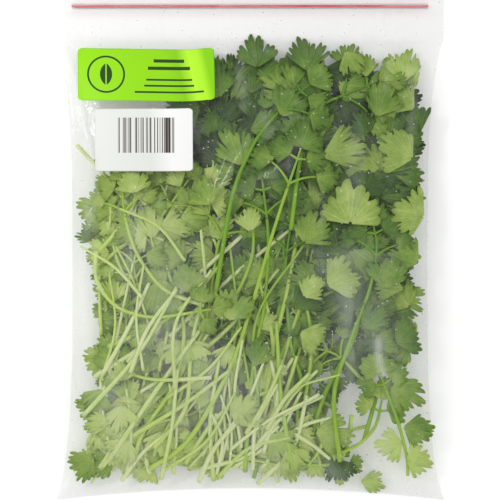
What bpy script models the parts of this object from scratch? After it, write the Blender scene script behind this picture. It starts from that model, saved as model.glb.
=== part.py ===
"""Cut coriander in a clear resealable bag, lying flat on its back panel.

X runs across the bag, Y runs up it towards the zip, and Z is up from the surface it lies on.
The origin is under the middle of the bag. Lengths below are in millimetres and turned to metres
when a mesh is made.
"""

import math

import bmesh
import bpy
import numpy as np

MM = 0.001

# The bag: an eight inch wide grip-seal pouch, filled, so that its side seams pull in and lift
BAG_WIDTH = 205.0
BAG_LENGTH = 283.0
FILL_HEIGHT = 34.0
FILL_MIDDLE = 122.0
FILL_REACH = 121.0
PINCH = 0.2855
SEAM_SHARE = 0.45
BOTTOM_BOW = 6.3
BOW_FADE = 60.0
FILM = 0.15
SEAM_GAP = 0.35
ZIP_FROM_BOTTOM = 260.6
ZIP_BULGE = 3.0
ZIP_BULGE_WIDTH = 3.6
ZIP_LENGTH = 188.0
COLUMNS = (-1, -0.93, -0.82, -0.68, -0.48, -0.24, 0, 0.24, 0.48, 0.68, 0.82, 0.93, 1)
ROWS = (0, 4, 12, 26, 50, 84, 122, 162, 194, 218, 236, 248, 254, 257.5, 260.6, 263.7, 268, 283)

# The labels on the front panel: middle X, middle Y, width, height, turn in degrees
FRONT_LABEL = (-54.4, 83.7, 71.8, 28.0, 1.5)
BARCODE_LABEL = (-55.2, 48.0, 51.0, 32.7, 0.5)
LABEL_PAPER = 0.12
LABEL_GAP = 0.9

# The herb
LEAF_PAPER = 0.5
LEAF_LEVEL = 0.8
POLE = 0.45
STALK_RADIUS = 0.6
LAYER_GAP = 0.9
HALF_LEAF = 1.1
SOFTEN = 8
WALL_MARGIN = 2.0
DEPTH_SHARE = 0.75
STEM_POINTS = 11
NODE_GAP = 0.3

# Each sprig: depth from the back panel (0) to the front (1), radius of the cut end, radius of the
# leaflets, half the spread of a leaflet in degrees, pairs of side branches (-1 for a lone leaflet),
# and the stem's route from the cut end to the tip
SPRIGS = (
    (0.85, 1.45, 14, 78, 1, (-52.8, -124.6), (-31.7, -108.2), (-10.6, -71.3), (1, -38),
     (13.2, 3.7), (26.4, 43.3)),
    (0.60, 1.3, 15, 70, 1, (-20, -120.4), (-12.7, -92.4), (-5.3, -63.9), (6.3, -30.6),
     (26.4, 11.6), (42, 22)),
    (0.80, 1.3, 13, 85, 1, (-2.6, -125.7), (0, -87.6), (3.2, -59.7), (7.4, -38), (9.5, -4.2),
     (6.3, 27.5)),
    (0.35, 1.2, 15, 80, 1, (-11.6, -123), (-1, -88.7), (0, -35.9), (0, 27.5), (6.3, 64.4)),
    (0.65, 1.25, 14, 75, 1, (26.4, -117.7), (24.8, -92.4), (26.9, -78.1), (21.1, -57),
     (18.5, -20), (22.2, 9)),
    (0.93, 1.2, 11, 70, 0, (-80, -10), (-80, -24.3), (-71.8, -37), (-60.2, -42.8), (-45.9, -44.3),
     (-20, -40.1)),
    (0.86, 1.2, 11, 85, 1, (-23.8, -38.5), (-44.4, -30.1), (-57, -14.8), (-63, -0.5), (-66, 14),
     (-66, 27)),
    (0.70, 1.2, 12, 80, 1, (-76.6, -15.8), (-65, -6.3), (-51.2, 2.1), (-39.6, 16.9), (-31.7, 27.5)),
    (0.30, 1.2, 13, 85, 1, (-73.9, -51.7), (-76, -35), (-76, -9.5), (-73, 9), (-64, 25), (-54, 36)),
    (0.60, 1.3, 11, 80, 1, (-62.8, -104.5), (-64, -80.8), (-65, -60.2), (-64, -39.1), (-62, -22.2)),
    (0.80, 1.2, 10, 75, 0, (-20, -76), (-48, -77.1), (-62, -73.9), (-72, -68)),
    (0.75, 1.35, 13, 80, 1, (-61.2, -122.5), (-56.5, -106.1), (-43.8, -87.1), (-32.7, -68.6),
     (-23.2, -47.5),
     (-19, -22.2), (-14.8, -1.6), (-2.6, 11.6)),
    (0.90, 1.3, 14, 60, 1, (-18.5, -35.9), (-9.5, 16.9), (0, 41.7), (8.4, 54.9), (21.1, 68.6), (31, 77)),
    (0.80, 1.2, 15, 55, 1, (21.1, 1.1), (26.4, 38), (35.4, 63.4), (48.6, 71.3), (60, 76), (67, 79)),
    (0.85, 1.35, 12, 85, 1, (47, -119.9), (43.8, -85), (52.3, -56.5), (62, -30.6), (66, -9.5), (64, 5)),
    (0.60, 1.3, 16, 80, 1, (31.7, -109.8), (39.6, -83.4), (53.9, -56.5), (60, -30.6), (58, 1.1),
     (50.2, 16.9)),
    (0.70, 0.9, 12, 85, 0, (83, -128), (82.4, -118.8), (78.1, -101.9), (71.8, -84.5), (67.6, -74)),
    (0.60, 0.9, 12, 85, 0, (47, -116), (57, -111), (65.5, -101.9), (69, -88)),
    (0.50, 1.2, 8, 80, 0, (0, -119), (20, -121), (38, -122.5), (52, -122)),
    (0.50, 1.0, 14, 60, -1, (-40, -110), (-53, -113), (-63, -116.5), (-72, -120)),
    (0.45, 1.2, 10, 85, 1, (60, -109), (68, -78.1), (70, -51.7), (67, -25.3), (60, -10)),
    (0.30, 1.3, 16, 70, 1, (42.2, -35.9), (47.5, -9.5), (52.8, 16.9), (55.4, 43.3), (52.8, 60)),
    (0.25, 1.3, 15, 80, 1, (-5.3, -62.3), (-13.2, -25.3), (-18.5, 11.6), (-15.8, 43.3), (-7.9, 64)),
)


def clear_scene():
    for item in list(bpy.data.objects):
        bpy.data.objects.remove(item, do_unlink=True)


def material(name, colour, roughness, alpha=1.0):
    """A Principled material with a flat colour."""
    made = bpy.data.materials.new(name)
    made.use_nodes = True
    shader = made.node_tree.nodes["Principled BSDF"]
    shader.inputs["Base Color"].default_value = (*colour, 1)
    shader.inputs["Roughness"].default_value = roughness
    shader.inputs["Metallic"].default_value = 0
    shader.inputs["Alpha"].default_value = alpha
    return made


def add_object(name, mesh, finish):
    made = bpy.data.objects.new(name, mesh)
    made.data.materials.clear()
    made.data.materials.append(finish)
    parts.objects.link(made)
    return made


# ---------------------------------------------------------------- the bag's surfaces

def fill(v):
    """Thickness of the filled bag at v, the distance along it from its bottom edge."""
    reach = np.clip(np.abs((v - FILL_MIDDLE) / FILL_REACH), 0, 1)
    return FILL_HEIGHT * (1 - reach**3.4) ** 0.75


def half_width(v):
    return BAG_WIDTH / 2 - PINCH * fill(v)


def bow(u, v):
    """How far the bottom edge is drawn up between its corners."""
    return BOTTOM_BOW * (1 - u**2) * np.clip(1 - v / BOW_FADE, 0, 1) ** 2


def zip_bulge(u, v):
    end = np.clip((1 - np.abs(u)) / 0.07, 0, 1)
    return ZIP_BULGE * end * np.exp(-(((v - ZIP_FROM_BOTTOM) / ZIP_BULGE_WIDTH) ** 4))


def back_height(u, v):
    """The back panel: flat where it rests, curling up to the side seams."""
    seam = SEAM_SHARE * fill(v)
    return FILM / 2 + seam * np.clip(1 - 1.15 * (1 - np.abs(u) ** 6), 0, None)


def front_height(u, v):
    """The front panel: a crown that falls to the side seams, with a ridge over the zip."""
    seam = SEAM_SHARE * fill(v) + FILM / 2 + FILM + SEAM_GAP
    return seam + (1 - SEAM_SHARE) * fill(v) * (1 - np.abs(u) ** 5) + zip_bulge(u, v)


def across_and_along(x, y):
    """The place (u, v) on the bag that lies at (x, y)."""
    v = y + BAG_LENGTH / 2
    for _ in range(6):
        u = x / half_width(v)
        v = y + BAG_LENGTH / 2 - bow(np.clip(u, -1, 1), v)
    return u, v


def panel(name, height, finish):
    """One wall of the bag: a grid laid on the height function, then given its thickness."""
    bm = bmesh.new()
    bmesh.ops.create_grid(bm, x_segments=len(COLUMNS) - 1, y_segments=len(ROWS) - 1, size=1)
    for vertex in bm.verts:
        u = np.interp(vertex.co.x, np.linspace(-1, 1, len(COLUMNS)), COLUMNS)
        v = np.interp(vertex.co.y, np.linspace(-1, 1, len(ROWS)), ROWS)
        x = u * half_width(v)
        y = v - BAG_LENGTH / 2 + bow(u, v)
        vertex.co = (x * MM, y * MM, height(u, v) * MM)
    return thicken(name, bm, FILM, finish)


def thicken(name, bm, thickness, finish):
    """Give an open surface its thickness, half on each side."""
    mesh = bpy.data.meshes.new(name)
    bm.to_mesh(mesh)
    bm.free()
    made = add_object(name, mesh, finish)
    solid = made.modifiers.new("Wall", "SOLIDIFY")
    solid.thickness = thickness * MM
    solid.offset = 0
    return made


def front_facet(x, y):
    """Height of the front panel's flat facets at (x, y)."""
    u, v = across_and_along(x, y)
    heights = [np.interp(u, COLUMNS, front_height(np.array(COLUMNS), row)) for row in ROWS]
    return float(np.interp(v, ROWS, heights))


def label(name, place, finish):
    """A sheet of label paper that follows the front panel."""
    middle_x, middle_y, width, height, turn = place
    turn = math.radians(turn)
    bm = bmesh.new()
    bmesh.ops.create_grid(bm, x_segments=10, y_segments=5, size=1)
    for vertex in bm.verts:
        across, up = vertex.co.x * width / 2, vertex.co.y * height / 2
        x = middle_x + across * math.cos(turn) - up * math.sin(turn)
        y = middle_y + across * math.sin(turn) + up * math.cos(turn)
        z = front_facet(x, y) + FILM / 2 + LABEL_GAP
        vertex.co = (x * MM, y * MM, z * MM)
    return thicken(name, bm, LABEL_PAPER, finish)


def bar(name, width, height, z, finish):
    """A strip across the bag on the zip's line, with its underside at z."""
    y = ZIP_FROM_BOTTOM - BAG_LENGTH / 2
    bpy.ops.mesh.primitive_cube_add(size=1, location=(0, y * MM, (z + height / 2) * MM))
    made = bpy.context.object
    made.name = name
    made.scale = (ZIP_LENGTH * MM, width * MM, height * MM)
    bpy.ops.object.transform_apply(location=False, rotation=False, scale=True)
    made.data.materials.append(finish)
    move_to(made, parts)
    return made


def move_to(item, collection):
    for old in list(item.users_collection):
        old.objects.unlink(item)
    collection.objects.link(item)


def zip_closure(clear, red):
    """A channel on the back panel and the rib on the front panel that is pressed into it."""
    groove_floor = FILM + 0.3
    groove = bar("zip_groove", 2.8, 1.7, groove_floor, clear)
    slot = bar("groove_slot", 1.5, 2.0, groove_floor + 0.6, clear)
    slot.scale.x = 1.1
    move_to(slot, cutters)
    slot.hide_render = True
    slot.display_type = "WIRE"
    cut = groove.modifiers.new("Slot", "BOOLEAN")
    cut.operation = "DIFFERENCE"
    cut.solver = "EXACT"
    cut.object = slot
    bar("zip_rib", 0.9, 1.7, groove_floor + 0.95, red)


# ---------------------------------------------------------------- the sprigs

def smooth_route(points, count):
    """Points at even steps along a Catmull-Rom curve through the route's own points."""
    points = np.array(points, float)
    ends = np.vstack([2 * points[0] - points[1], points, 2 * points[-1] - points[-2]])
    t = np.linspace(0, 1, 20, endpoint=False)[:, None]
    runs = []
    for a, b, c, d in zip(ends[:-3], ends[1:-2], ends[2:-1], ends[3:]):
        runs.append(
            0.5 * (2 * b + (c - a) * t + (2 * a - 5 * b + 4 * c - d) * t**2 + (3 * b - a - 3 * c + d) * t**3)
        )
    line = np.vstack([*runs, points[-1:]])
    length = np.concatenate([[0], np.cumsum(np.linalg.norm(np.diff(line, axis=0), axis=1))])
    steps = np.linspace(0, length[-1], count)
    return np.column_stack([np.interp(steps, length, line[:, k]) for k in (0, 1)]), length[-1]


def turned(direction, degrees):
    angle = math.radians(degrees)
    x, y = direction
    return np.array([x * math.cos(angle) - y * math.sin(angle), x * math.sin(angle) + y * math.cos(angle)])


def plan_of(sprig):
    """A sprig seen from above: its stem, its leaf stalks and its leaflets.

    The last part of the route is the stalk that carries the leaflets. The tip has one leaflet and
    an opposite pair just below it, and each further pair sits on two side branches.
    """
    depth, radius, leaf, spread, pairs, *route = sprig
    line, length = smooth_route(route, 200)
    head = 9 + 0.9 * leaf * max(pairs, 0)
    along = np.linspace(0, length, len(line))

    def at(distance):
        return np.array([np.interp(distance, along, line[:, k]) for k in (0, 1)])

    def heading(distance):
        step = at(min(distance + 2, length)) - at(distance - 2)
        return step / np.linalg.norm(step)

    head_start = length - head
    stem = np.array([at(d) for d in np.linspace(0, head_start - NODE_GAP, STEM_POINTS)])
    stalk = np.array([at(d) for d in np.linspace(head_start, length, 5)])
    stalks = [stalk]
    leaflets = [(at(length), heading(length), leaf, LEAF_LEVEL)]
    for side in (-1, 1) if pairs >= 0 else ():
        fork = at(length - 6)
        way = turned(heading(length - 6), 74 * side)
        base = fork + way * 4.5
        stalks.append(np.array([fork, base]))
        leaflets.append((base, turned(way, -4 * side), 0.82 * leaf, 0.0))
        for pair in range(pairs):
            place = length - head + 2 + 8 * pair
            fork = at(place)
            way = turned(heading(place), 50 * side)
            middle = fork + way * 0.55 * leaf
            way = turned(way, 14 * side)
            base = middle + way * 0.5 * leaf
            stalks.append(np.array([fork, middle, base]))
            leaflets.append((base, way, 0.85 * leaf, -LEAF_LEVEL))
    return {"depth": depth, "radius": radius, "spread": spread, "stem": stem, "stalks": stalks,
            "leaflets": leaflets}


def outline(leaf, spread, shape):
    """A leaflet's rim about its base: a fan of rounded teeth with two deeper notches."""
    teeth = 9
    front = np.linspace(-spread, spread, teeth)
    reach = leaf * (1 - 0.28 * np.abs(front / 95) ** 2.5)
    reach[1::2] *= 0.8
    notch = 1 + 2 * (shape % 2)
    reach[[notch, teeth - 1 - notch]] *= 0.75
    back = np.array([145.0, -145.0])
    angles = np.radians(np.concatenate([front, back]))
    radii = np.concatenate([reach, np.full(2, 0.13 * leaf)])
    return angles, radii


def window_max(field, reach):
    """The largest value within reach cells along both axes."""
    for axis in (0, 1):
        padded = np.pad(field, [(reach, reach) if k == axis else (0, 0) for k in (0, 1)])
        size = field.shape[axis]
        field = np.max([np.take(padded, range(k, k + size), axis) for k in range(2 * reach + 1)], axis=0)
    return field


def window_mean(field, reach):
    """The mean within reach cells along both axes."""
    for axis in (0, 1):
        padded = np.pad(field, [(reach, reach) if k == axis else (0, 0) for k in (0, 1)], mode="edge")
        size = field.shape[axis]
        field = np.mean([np.take(padded, range(k, k + size), axis) for k in range(2 * reach + 1)], axis=0)
    return field


class Heap:
    """The height of what is in the bag so far, on a grid of one millimetre."""

    def __init__(self):
        self.x = np.arange(-110, 111)
        self.y = np.arange(-145, 146)
        self.grid_x, self.grid_y = np.meshgrid(self.x, self.y, indexing="ij")
        u, v = across_and_along(self.grid_x, self.grid_y)
        u = np.clip(u, -1, 1)
        self.floor = back_height(u, v) + WALL_MARGIN
        self.room = front_height(u, v) - WALL_MARGIN - self.floor
        self.top = self.floor - WALL_MARGIN

    def half_thickness(self, plan):
        """Half a sprig's thickness over each cell, from discs along its stem and on its leaflets."""
        discs = [(point, 2.5, plan["radius"] + 0.1) for point in refined(plan["stem"])]
        discs += [(point, 2.0, HALF_LEAF) for line in plan["stalks"] for point in refined(line)]
        for base, way, leaf, _ in plan["leaflets"]:
            discs += [(base + way * 0.5 * leaf, 0.62 * leaf + 1, HALF_LEAF), (base, 0.4 * leaf, HALF_LEAF)]
        half = np.zeros(self.grid_x.shape)
        for (x, y), radius, thick in discs:
            inside = (self.grid_x - x) ** 2 + (self.grid_y - y) ** 2 < radius**2
            half[inside] = np.maximum(half[inside], thick)
        return half

    def lay(self, plan):
        """Heights for a sprig at its depth in the bag, lifted smoothly over what lies below it."""
        target = self.floor + plan["depth"] * DEPTH_SHARE * np.clip(self.room, 0, None)
        half = self.half_thickness(plan)
        need = np.where(half > 0, self.top + LAYER_GAP + half - target, 0)
        height = target + window_mean(window_max(np.clip(need, 0, None), SOFTEN), SOFTEN)
        self.top = np.where(half > 0, np.maximum(self.top, height + half), self.top)
        return height

    def sample(self, height, x, y):
        """Height at (x, y), between the four cells around it."""
        column = min(max(x - self.x[0], 0), len(self.x) - 2)
        row = min(max(y - self.y[0], 0), len(self.y) - 2)
        i, j = int(column), int(row)
        a, b = column - i, row - j
        low = height[i, j] * (1 - a) + height[i + 1, j] * a
        high = height[i, j + 1] * (1 - a) + height[i + 1, j + 1] * a
        return float(low * (1 - b) + high * b)


def refined(line):
    """The points of a line with more between them, about 2 mm apart."""
    made = []
    for start, end in zip(line[:-1], line[1:]):
        count = max(int(np.linalg.norm(end - start) / 2), 1)
        made += [start + (end - start) * k / count for k in range(count)]
    return [*made, line[-1]]


def tube(name, points, radii, sides, finish):
    """A round stem through the points, as a mesh with closed ends."""
    curve = bpy.data.curves.new(name, "CURVE")
    curve.dimensions = "3D"
    curve.bevel_depth = MM
    curve.bevel_resolution = (sides - 4) // 2
    curve.use_fill_caps = True
    spline = curve.splines.new("POLY")
    spline.points.add(len(points) - 1)
    for point, place, radius in zip(spline.points, points, radii):
        point.co = (*(np.array(place) * MM), 1)
        point.radius = radius
    helper = bpy.data.objects.new(name, curve)
    parts.objects.link(helper)
    ready = helper.evaluated_get(bpy.context.evaluated_depsgraph_get())
    mesh = bpy.data.meshes.new_from_object(ready)
    bpy.data.objects.remove(helper, do_unlink=True)
    bm = bmesh.new()
    bm.from_mesh(mesh)
    bmesh.ops.remove_doubles(bm, verts=bm.verts, dist=1e-6)
    bmesh.ops.recalc_face_normals(bm, faces=bm.faces)
    bm.to_mesh(mesh)
    bm.free()
    mesh.name = name
    return add_object(name, mesh, finish)


def leaflet(name, base, way, leaf, level, spread, shape, height_at, finish):
    """A leaflet: a disc whose rim is drawn out to a toothed fan and laid at the sprig's height."""
    angles, radii = outline(leaf, spread, shape)
    bm = bmesh.new()
    bmesh.ops.create_circle(bm, cap_ends=True, cap_tris=True, segments=len(angles), radius=1)
    rim = sorted((v for v in bm.verts if v.co.length > 0.5), key=lambda v: math.atan2(v.co.y, v.co.x))
    middle = next(v for v in bm.verts if v.co.length <= 0.5)
    places = [(middle, base + way * POLE * leaf, POLE)]
    order = np.argsort(angles)
    for vertex, k in zip(rim, order):
        places.append((vertex, base + turned(way, math.degrees(angles[k])) * radii[k], radii[k] / leaf))
    for vertex, (x, y), out in places:
        z = height_at(x, y) + level * min(1, 2 * out)
        vertex.co = (x * MM, y * MM, z * MM)
    bmesh.ops.recalc_face_normals(bm, faces=bm.faces)
    made = thicken(name, bm, LEAF_PAPER, finish)
    return made


def flatten(item):
    """Make an object's modifiers part of its mesh."""
    ready = item.evaluated_get(bpy.context.evaluated_depsgraph_get())
    mesh = bpy.data.meshes.new_from_object(ready)
    item.modifiers.clear()
    item.data = mesh


def unite(item, others):
    """Join other solids to an object with Boolean unions."""
    for other in others:
        join = item.modifiers.new("Join", "BOOLEAN")
        join.operation = "UNION"
        join.solver = "MANIFOLD"
        join.object = other
        flatten(item)
        bpy.data.objects.remove(other, do_unlink=True)


def islands(bm):
    """The mesh's connected groups of faces."""
    left = set(bm.faces)
    groups = []
    while left:
        group, edge_of_group = set(), [left.pop()]
        while edge_of_group:
            face = edge_of_group.pop()
            group.add(face)
            near = {other for edge in face.edges for other in edge.link_faces} & left
            left -= near
            edge_of_group += near
        groups.append(group)
    return groups


def drop_pockets(mesh):
    """Keep a solid's outer skin, without the small pockets closed in where leaflets cross."""
    bm = bmesh.new()
    bm.from_mesh(mesh)
    groups = sorted(islands(bm), key=len)
    pockets = [face for group in groups[:-1] for face in group]
    bmesh.ops.delete(bm, geom=pockets, context="FACES")
    bm.to_mesh(mesh)
    bm.free()


def sprig(number, plan, heap, stem_finish, leaf_finish):
    """One sprig as two solids: the stem, and the leaf head on its stalks."""
    height = heap.lay(plan)

    def height_at(x, y):
        return heap.sample(height, x, y)

    def raised(line):
        return [(x, y, height_at(x, y)) for x, y in line]

    name = f"sprig_{number:02d}"
    radii = np.linspace(plan["radius"], STALK_RADIUS + 0.2, len(plan["stem"]))
    stem = tube(f"{name}_stem", raised(plan["stem"]), radii, 6, stem_finish)
    stem.data.shade_smooth()
    main, *branches = plan["stalks"]
    head = tube(f"{name}_leaves", raised(main), np.linspace(STALK_RADIUS + 0.2, STALK_RADIUS, len(main)), 4,
                leaf_finish)
    others = [tube("branch", raised(line), np.full(len(line), STALK_RADIUS * 0.9), 4, leaf_finish)
              for line in branches]
    for shape, (base, way, leaf, level) in enumerate(plan["leaflets"]):
        others.append(leaflet("leaflet", base, way, leaf, level, plan["spread"], number + shape, height_at,
                              leaf_finish))
    unite(head, others)
    drop_pockets(head.data)


clear_scene()
parts = bpy.data.collections.new("coriander_bunch")
cutters = bpy.data.collections.new("cutters")
bpy.context.scene.collection.children.link(parts)
bpy.context.scene.collection.children.link(cutters)

film = material("clear polythene film", (0.93, 0.94, 0.93), 0.12, 0.25)
red = material("red polythene", (0.78, 0.10, 0.13), 0.4)
lime = material("lime label paper", (0.35, 0.75, 0.01), 0.35)
white = material("white label paper", (0.86, 0.87, 0.85), 0.45)
pale_green = material("coriander stem", (0.42, 0.58, 0.16), 0.4)
leaf_green = material("coriander leaf", (0.10, 0.24, 0.04), 0.45)

panel("bag_back_panel", back_height, film)
panel("bag_front_panel", front_height, film)
zip_closure(film, red)
label("front_label", FRONT_LABEL, lime)
label("barcode_label", BARCODE_LABEL, white)

heap = Heap()
plans = [plan_of(each) for each in SPRIGS]
for number in sorted(range(len(plans)), key=lambda k: plans[k]["depth"]):
    sprig(number + 1, plans[number], heap, pale_green, leaf_green)
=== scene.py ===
"""Looks for the bag of cut coriander: the herb, the film, the zip, the labels and the light."""

import math
from functools import partial

import bpy
import numpy as np
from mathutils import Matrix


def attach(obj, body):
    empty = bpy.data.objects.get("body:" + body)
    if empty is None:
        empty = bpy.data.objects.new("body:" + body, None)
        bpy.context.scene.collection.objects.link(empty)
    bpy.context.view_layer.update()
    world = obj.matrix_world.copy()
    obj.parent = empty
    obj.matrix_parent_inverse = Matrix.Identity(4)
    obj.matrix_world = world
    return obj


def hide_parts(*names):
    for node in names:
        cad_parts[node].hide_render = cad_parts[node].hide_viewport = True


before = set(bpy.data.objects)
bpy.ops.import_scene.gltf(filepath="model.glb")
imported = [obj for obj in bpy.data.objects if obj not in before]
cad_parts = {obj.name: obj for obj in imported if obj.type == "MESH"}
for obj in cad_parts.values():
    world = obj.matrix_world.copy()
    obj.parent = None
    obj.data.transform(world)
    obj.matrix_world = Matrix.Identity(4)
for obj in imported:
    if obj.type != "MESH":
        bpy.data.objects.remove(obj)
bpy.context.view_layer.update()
MM = 0.001
RANDOM = np.random.default_rng(7)

# The camera's lens and sensor, and the middle and width of what it sees at the floor, in mm
LENS = 200
SENSOR = 36
VIEW_MIDDLE = -9.5
VIEW_WIDTH = 264.0

# The bag's shape in millimetres, as the construction has it
BAG_WIDTH = 205.0
BAG_LENGTH = 283.0
FILL_HEIGHT = 34.0
FILL_MIDDLE = 122.0
FILL_REACH = 121.0
PINCH = 0.2855
SEAM_SHARE = 0.45
BOTTOM_BOW = 6.3
BOW_FADE = 60.0
FILM = 0.15
SEAM_GAP = 0.35
ZIP_FROM_BOTTOM = 260.6
ZIP_BULGE = 3.0
ZIP_BULGE_WIDTH = 3.6
FRONT_LABEL = (-54.4, 83.7, 71.8, 28.0, 1.5)
BARCODE_LABEL = (-55.2, 48.0, 51.0, 32.7, 0.5)

# The herb's heap, as the construction lays it
LAYER_GAP = 0.9
HALF_LEAF = 1.1
SOFTEN = 8
WALL_MARGIN = 2.0
DEPTH_SHARE = 0.75
NODE_GAP = 0.3

# Each sprig of the construction: depth, radius of the cut end, radius of the leaflets, half the
# spread of a leaflet, pairs of side branches, and the stem's route from the cut end to the tip
SPRIGS = (
    (0.85, 1.45, 14, 78, 1, (-52.8, -124.6), (-31.7, -108.2), (-10.6, -71.3), (1, -38), (13.2, 3.7),
     (26.4, 43.3)),
    (0.60, 1.3, 15, 70, 1, (-20, -120.4), (-12.7, -92.4), (-5.3, -63.9), (6.3, -30.6), (26.4, 11.6),
     (42, 22)),
    (0.80, 1.3, 13, 85, 1, (-2.6, -125.7), (0, -87.6), (3.2, -59.7), (7.4, -38), (9.5, -4.2), (6.3, 27.5)),
    (0.35, 1.2, 15, 80, 1, (-11.6, -123), (-1, -88.7), (0, -35.9), (0, 27.5), (6.3, 64.4)),
    (0.65, 1.25, 14, 75, 1, (26.4, -117.7), (24.8, -92.4), (26.9, -78.1), (21.1, -57), (18.5, -20),
     (22.2, 9)),
    (0.93, 1.2, 11, 70, 0, (-80, -10), (-80, -24.3), (-71.8, -37), (-60.2, -42.8), (-45.9, -44.3),
     (-20, -40.1)),
    (0.86, 1.2, 11, 85, 1, (-23.8, -38.5), (-44.4, -30.1), (-57, -14.8), (-63, -0.5), (-66, 14),
     (-66, 27)),
    (0.70, 1.2, 12, 80, 1, (-76.6, -15.8), (-65, -6.3), (-51.2, 2.1), (-39.6, 16.9), (-31.7, 27.5)),
    (0.30, 1.2, 13, 85, 1, (-73.9, -51.7), (-76, -35), (-76, -9.5), (-73, 9), (-64, 25), (-54, 36)),
    (0.60, 1.3, 11, 80, 1, (-62.8, -104.5), (-64, -80.8), (-65, -60.2), (-64, -39.1), (-62, -22.2)),
    (0.80, 1.2, 10, 75, 0, (-20, -76), (-48, -77.1), (-62, -73.9), (-72, -68)),
    (0.75, 1.35, 13, 80, 1, (-61.2, -122.5), (-56.5, -106.1), (-43.8, -87.1), (-32.7, -68.6),
     (-23.2, -47.5),
     (-19, -22.2), (-14.8, -1.6), (-2.6, 11.6)),
    (0.90, 1.3, 14, 60, 1, (-18.5, -35.9), (-9.5, 16.9), (0, 41.7), (8.4, 54.9), (21.1, 68.6), (31, 77)),
    (0.80, 1.2, 15, 55, 1, (21.1, 1.1), (26.4, 38), (35.4, 63.4), (48.6, 71.3), (60, 76), (67, 79)),
    (0.85, 1.35, 12, 85, 1, (47, -119.9), (43.8, -85), (52.3, -56.5), (62, -30.6), (66, -9.5), (64, 5)),
    (0.60, 1.3, 16, 80, 1, (31.7, -109.8), (39.6, -83.4), (53.9, -56.5), (60, -30.6), (58, 1.1),
     (50.2, 16.9)),
    (0.70, 0.9, 12, 85, 0, (83, -128), (82.4, -118.8), (78.1, -101.9), (71.8, -84.5), (67.6, -74)),
    (0.60, 0.9, 12, 85, 0, (47, -116), (57, -111), (65.5, -101.9), (69, -88)),
    (0.50, 1.2, 8, 80, 0, (0, -119), (20, -121), (38, -122.5), (52, -122)),
    (0.50, 1.0, 14, 60, -1, (-40, -110), (-53, -113), (-63, -116.5), (-72, -120)),
    (0.45, 1.2, 10, 85, 1, (60, -109), (68, -78.1), (70, -51.7), (67, -25.3), (60, -10)),
    (0.30, 1.3, 16, 70, 1, (42.2, -35.9), (47.5, -9.5), (52.8, 16.9), (55.4, 43.3), (52.8, 60)),
    (0.25, 1.3, 15, 80, 1, (-5.3, -62.3), (-13.2, -25.3), (-18.5, 11.6), (-15.8, 43.3), (-7.9, 64)),
)

# Tone of each of those sprigs, leaves and stem, from dark (0) to pale (1)
SPRIG_TONES = (
    (0.45, 0.75), (0.35, 0.6), (0.4, 0.55), (0.25, 0.5), (0.4, 0.45), (0.6, 0.85), (0.65, 0.9), (0.6, 0.8),
    (0.55, 0.8), (0.6, 0.85), (0.6, 0.95), (0.5, 0.8), (0.4, 0.35), (0.55, 0.4), (0.35, 0.5), (0.3, 0.45),
    (0.55, 0.6), (0.7, 0.7), (0.6, 0.9), (0.6, 0.8), (0.45, 0.5), (0.15, 0.3), (0.2, 0.35),
)

# Further sprigs: how many, middle and half size of the patch that their heads fall in, heading in
# degrees from +X and its spread, stem length, leaflet radius, depth from and to, and tone from and to
PATCHES = (
    (26, 46, 54, 42, 40, 80, 70, 40, 16, 0.0, 0.55, 0.0, 0.4),
    (18, -2, 60, 26, 36, 95, 70, 40, 15, 0.0, 0.6, 0.0, 0.4),
    (24, 48, -4, 42, 36, 85, 70, 40, 15, 0.0, 0.65, 0.1, 0.45),
    (16, 4, -12, 28, 36, 90, 70, 40, 14, 0.0, 0.55, 0.1, 0.45),
    (14, -52, 4, 28, 24, 110, 80, 32, 12, 0.0, 0.75, 0.5, 0.8),
    (8, -56, -56, 24, 30, 120, 90, 32, 11, 0.0, 0.65, 0.55, 0.85),
    (10, -14, -62, 28, 22, 90, 70, 36, 12, 0.0, 0.5, 0.45, 0.8),
    (12, 44, -50, 28, 22, 80, 80, 34, 12, 0.0, 0.65, 0.25, 0.6),
    (7, -10, -98, 56, 14, 90, 90, 22, 10, 0.0, 0.5, 0.6, 0.9),
)

# Leaflets on top of those, on stalks that lie hidden: how many, middle and half size of the patch,
# heading and its spread, leaflet radius, depth from and to, and tone from and to
LEAF_PATCHES = (
    (90, 46, 58, 44, 42, 80, 110, 19, 0.45, 0.85, 0.0, 0.6),
    (54, -2, 64, 24, 38, 90, 110, 17, 0.45, 0.85, 0.0, 0.5),
    (84, 48, -4, 44, 42, 80, 120, 18, 0.45, 0.85, 0.1, 0.65),
    (50, 4, -8, 32, 36, 90, 110, 15, 0.4, 0.8, 0.2, 0.65),
    (52, -50, 8, 34, 24, 100, 120, 14, 0.45, 0.85, 0.58, 1.0),
    (56, -38, -60, 44, 34, 200, 150, 14, 0.35, 0.82, 0.6, 1.05),
    (60, -34, -104, 48, 20, 250, 120, 13, 0.3, 0.8, 0.85, 1.2),
    (26, 14, -84, 26, 30, 260, 140, 13, 0.3, 0.75, 0.3, 0.75),
    (14, 46, -54, 24, 14, 90, 150, 14, 0.4, 0.75, 0.3, 0.6),
    (16, 80, 10, 10, 84, 120, 120, 15, 0.3, 0.7, 0.45, 0.75),
    (14, 6, -116, 46, 10, 270, 100, 12, 0.3, 0.8, 0.6, 1.0),
)

# Loose lengths of stem: how many, middle and half size of the patch, heading and spread, length,
# depth from and to, and tone from and to
STEM_PATCHES = (
    (28, -42, -62, 40, 44, 62, 36, 76, 0.65, 1.0, 0.8, 1.05),
    (46, -24, -102, 56, 18, 62, 36, 50, 0.6, 1.0, 0.85, 1.1),
    (24, 8, -50, 20, 46, 85, 14, 88, 0.3, 0.9, 0.4, 0.85),
    (5, 24, 10, 40, 40, 60, 40, 50, 0.5, 0.8, 0.2, 0.5),
    (20, -66, -8, 18, 44, 100, 44, 60, 0.5, 1.0, 0.8, 1.05),
    (12, 14, -110, 36, 12, 300, 50, 30, 0.5, 0.95, 0.75, 1.0),
)

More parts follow.
